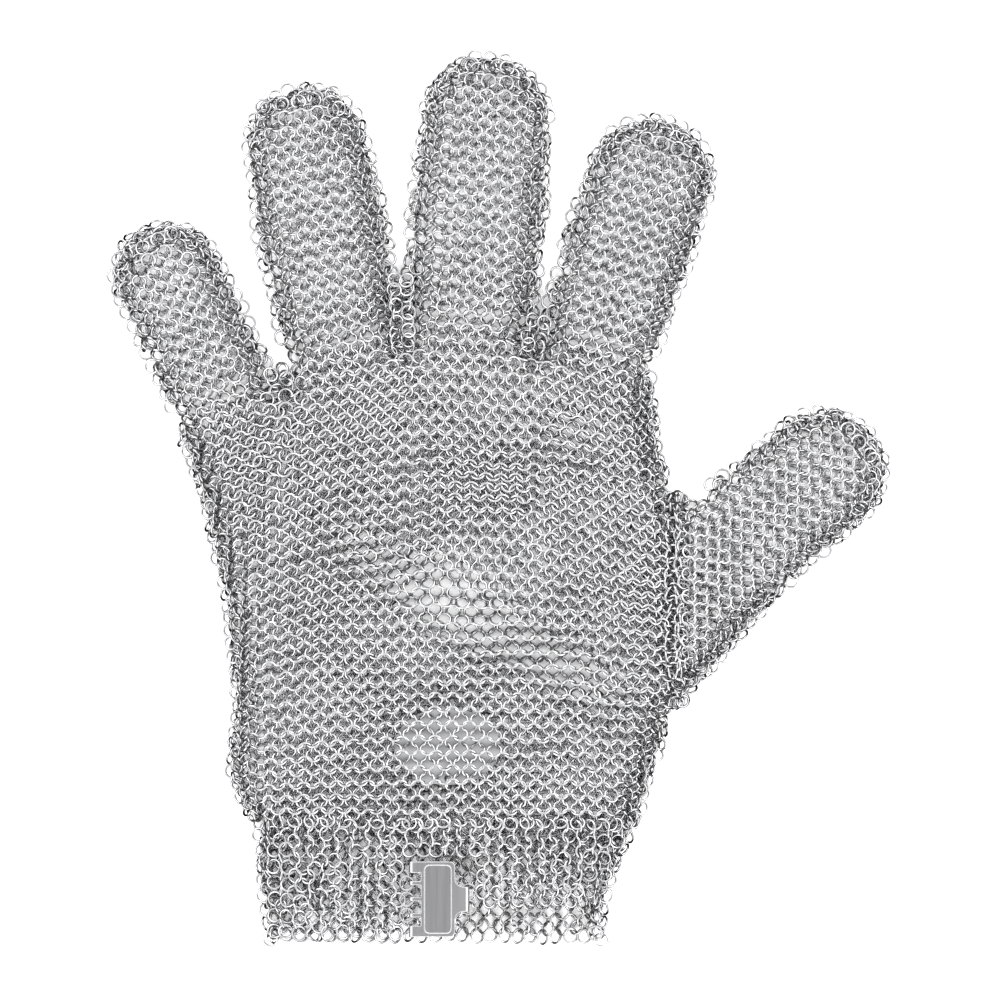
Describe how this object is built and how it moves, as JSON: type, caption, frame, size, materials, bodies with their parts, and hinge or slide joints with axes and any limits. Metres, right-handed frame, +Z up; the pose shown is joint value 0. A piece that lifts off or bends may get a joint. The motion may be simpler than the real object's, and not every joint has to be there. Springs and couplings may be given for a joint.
{
  "type": "cut resistant glove",
  "caption": "Ring mesh glove of linked stainless steel rings with a folded plate clasp at the cuff, worn on the hand that holds the work while carving.",
  "frame": {"origin": "bottom centre of the whole glove's bounding box, on the surface that the glove lies on", "axes": "+Y along the glove from the cuff to the fingertips, +X towards the thumb, +Z up out of the palm side"},
  "size_m": [0.196, 0.2244, 0.011],
  "materials": {
    "ring_mesh": "bright drawn stainless wire",
    "edge_rings": "bright drawn stainless wire",
    "cuff_mesh": "bright drawn stainless wire",
    "fixing_rings": "bright drawn stainless wire",
    "clasp_plate": "satin pressed stainless sheet",
    "size_disc": "pale satin"
  },
  "bodies": {
    "hand": {"back_panel": "ring_mesh", "palm_panel": "ring_mesh", "little_side_row": "edge_rings", "wrist_thumb_row": "edge_rings", "index_side_row": "edge_rings", "middle_index_web": "edge_rings", "ring_middle_web": "edge_rings", "little_ring_web": "edge_rings", "cuff_back_band": "cuff_mesh", "cuff_little_row": "edge_rings", "cuff_thumb_row": "edge_rings", "cuff_left_band": "cuff_mesh", "cuff_right_band": "cuff_mesh", "size_disc": "size_disc", "disc_hangers": "fixing_rings", "clasp_catch_rings": "fixing_rings"},
    "little_base": {"little_base_back_side": "ring_mesh", "little_base_palm_side": "ring_mesh", "little_base_left_row": "edge_rings", "little_base_right_row": "edge_rings"},
    "little_tip": {"little_tip_back_side": "ring_mesh", "little_tip_palm_side": "ring_mesh", "little_tip_closing_row": "edge_rings"},
    "ring_finger_base": {"ring_finger_base_back_side": "ring_mesh", "ring_finger_base_palm_side": "ring_mesh", "ring_finger_base_left_row": "edge_rings", "ring_finger_base_right_row": "edge_rings"},
    "ring_finger_tip": {"ring_finger_tip_back_side": "ring_mesh", "ring_finger_tip_palm_side": "ring_mesh", "ring_finger_tip_closing_row": "edge_rings"},
    "middle_base": {"middle_base_back_side": "ring_mesh", "middle_base_palm_side": "ring_mesh", "middle_base_left_row": "edge_rings", "middle_base_right_row": "edge_rings"},
    "middle_tip": {"middle_tip_back_side": "ring_mesh", "middle_tip_palm_side": "ring_mesh", "middle_tip_closing_row": "edge_rings"},
    "index_base": {"index_base_back_side": "ring_mesh", "index_base_palm_side": "ring_mesh", "index_base_left_row": "edge_rings", "index_base_right_row": "edge_rings"},
    "index_tip": {"index_tip_back_side": "ring_mesh", "index_tip_palm_side": "ring_mesh", "index_tip_closing_row": "edge_rings"},
    "thumb_base": {"thumb_base_back_side": "ring_mesh", "thumb_base_palm_side": "ring_mesh", "thumb_base_left_row": "edge_rings", "thumb_base_right_row": "edge_rings"},
    "thumb_tip": {"thumb_tip_back_side": "ring_mesh", "thumb_tip_palm_side": "ring_mesh", "thumb_tip_closing_row": "edge_rings"},
    "cuff_flap": {"cuff_flap": "cuff_mesh", "clasp_link_rings": "fixing_rings"},
    "clasp": {"clasp_plate": "clasp_plate"}
  },
  "joints": [
    {"name": "little_root_fold", "type": "hinge", "parent": "hand", "child": "little_base", "pos_m": [-0.0692, 0.0252, 0.0035], "axis": [0.9063, 0.4226, 0], "range_deg": [0, 55]},
    {"name": "little_knuckle_fold", "type": "hinge", "parent": "little_base", "child": "little_tip", "pos_m": [-0.0785, 0.04514, 0.0035], "axis": [0.9063, 0.4226, 0], "range_deg": [0, 60]},
    {"name": "ring_finger_root_fold", "type": "hinge", "parent": "hand", "child": "ring_finger_base", "pos_m": [-0.0393, 0.0396, 0.0035], "axis": [0.9836, 0.1805, 0], "range_deg": [0, 55]},
    {"name": "ring_finger_knuckle_fold", "type": "hinge", "parent": "ring_finger_base", "child": "ring_finger_tip", "pos_m": [-0.04472, 0.06911, 0.0035], "axis": [0.9836, 0.1805, 0], "range_deg": [0, 60]},
    {"name": "middle_root_fold", "type": "hinge", "parent": "hand", "child": "middle_base", "pos_m": [-0.0075, 0.044, 0.0035], "axis": [0.9968, -0.0802, 0], "range_deg": [0, 55]},
    {"name": "middle_knuckle_fold", "type": "hinge", "parent": "middle_base", "child": "middle_tip", "pos_m": [-0.00501, 0.0749, 0.0035], "axis": [0.9968, -0.0802, 0], "range_deg": [0, 60]},
    {"name": "index_root_fold", "type": "hinge", "parent": "hand", "child": "index_base", "pos_m": [0.025, 0.0378, 0.0035], "axis": [0.9548, -0.2974, 0], "range_deg": [0, 55]},
    {"name": "index_knuckle_fold", "type": "hinge", "parent": "index_base", "child": "index_tip", "pos_m": [0.03333, 0.06453, 0.0035], "axis": [0.9548, -0.2974, 0], "range_deg": [0, 60]},
    {"name": "thumb_seam_fold", "type": "hinge", "parent": "hand", "child": "thumb_base", "pos_m": [0.045, -0.027, 0.0035], "axis": [0, -1, 0], "range_deg": [0, 60]},
    {"name": "thumb_knuckle_fold", "type": "hinge", "parent": "thumb_base", "child": "thumb_tip", "pos_m": [0.066, -0.0059, 0.0035], "axis": [0.6428, -0.766, 0], "range_deg": [0, 60]},
    {"name": "cuff_flap_fold", "type": "hinge", "parent": "hand", "child": "cuff_flap", "pos_m": [-0.042, -0.09645, 0.00985], "axis": [0, -1, 0], "range_deg": [0, 110]},
    {"name": "clasp_swing", "type": "hinge", "parent": "cuff_flap", "child": "clasp", "pos_m": [-0.0214, -0.0999, 0.00985], "axis": [0, -1, 0], "range_deg": [0, 120]}
  ]
}
